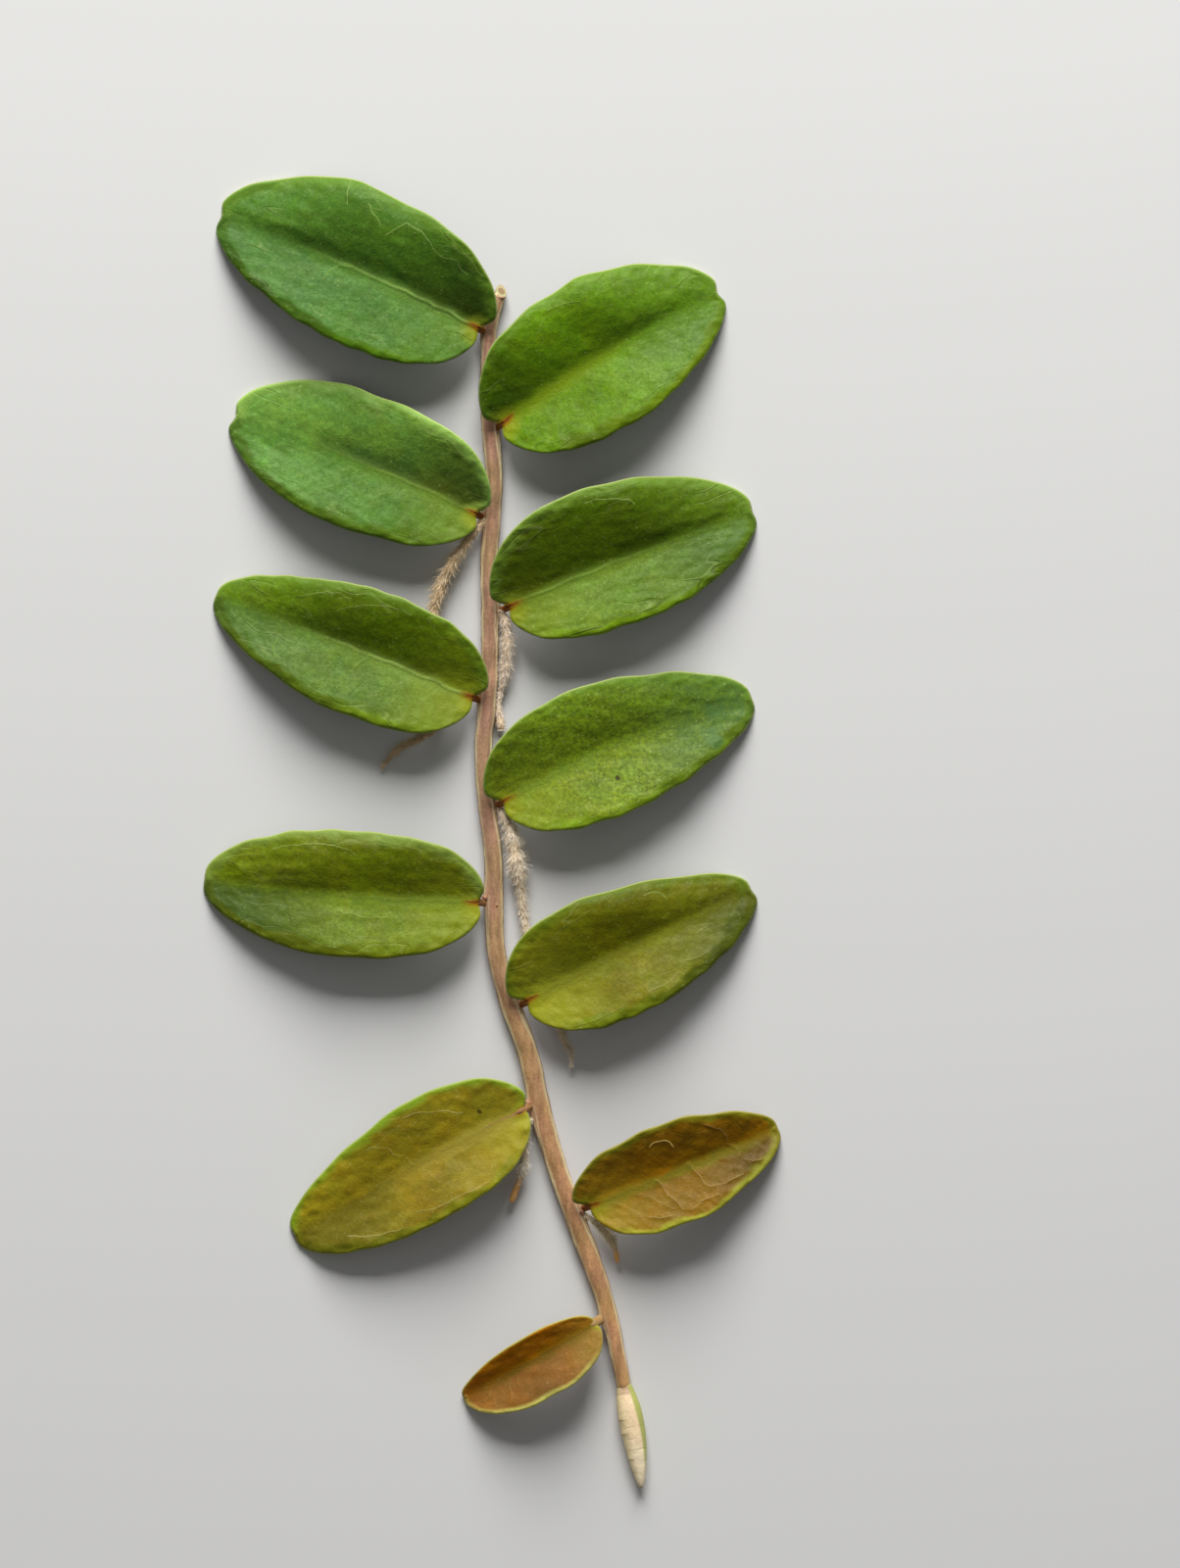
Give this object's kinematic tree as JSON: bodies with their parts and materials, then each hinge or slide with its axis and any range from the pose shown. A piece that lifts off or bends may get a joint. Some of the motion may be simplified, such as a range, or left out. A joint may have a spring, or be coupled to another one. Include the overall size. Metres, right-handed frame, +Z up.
{
  "type": "marcgravia cutting",
  "caption": "Cut shoot of a shingling climber: a slender stem with oval leathery leaves in two rows, felted aerial roots and a closed shoot tip, lying flat.",
  "frame": {"origin": "on the table, under the middle of the cutting's box", "axes": "+Z up out of the leaf faces, +Y along the shoot towards its cut end, +X to the right seen from above"},
  "size_m": [0.0392, 0.0891, 0.0029],
  "materials": {
    "stem_skin": "mauve-brown skin with pale ridges, dull satin",
    "green_leaf": "leathery mid green, waxy satin",
    "olive_leaf": "leathery olive green, waxy satin",
    "bronze_leaf": "young bronze leaf with a lime margin, satin",
    "root_felt": "felted with fine tan root hairs, matte",
    "shoot_tip_skin": "cream with a green edge, dull satin"
  },
  "bodies": {
    "root": {"stem": "stem_skin", "leaf_left_1": "green_leaf", "leaf_left_2": "green_leaf", "leaf_left_3": "green_leaf", "leaf_left_4": "green_leaf", "leaf_left_5": "olive_leaf", "leaf_left_6": "bronze_leaf", "leaf_right_1": "green_leaf", "leaf_right_2": "green_leaf", "leaf_right_3": "green_leaf", "leaf_right_4": "olive_leaf", "leaf_right_5": "bronze_leaf", "aerial_root_left_2": "root_felt", "aerial_root_right_2": "root_felt", "aerial_root_right_3": "root_felt", "aerial_root_left_5": "root_felt", "aerial_root_right_5": "root_felt", "shoot_tip": "shoot_tip_skin"}
  },
  "joints": []
}
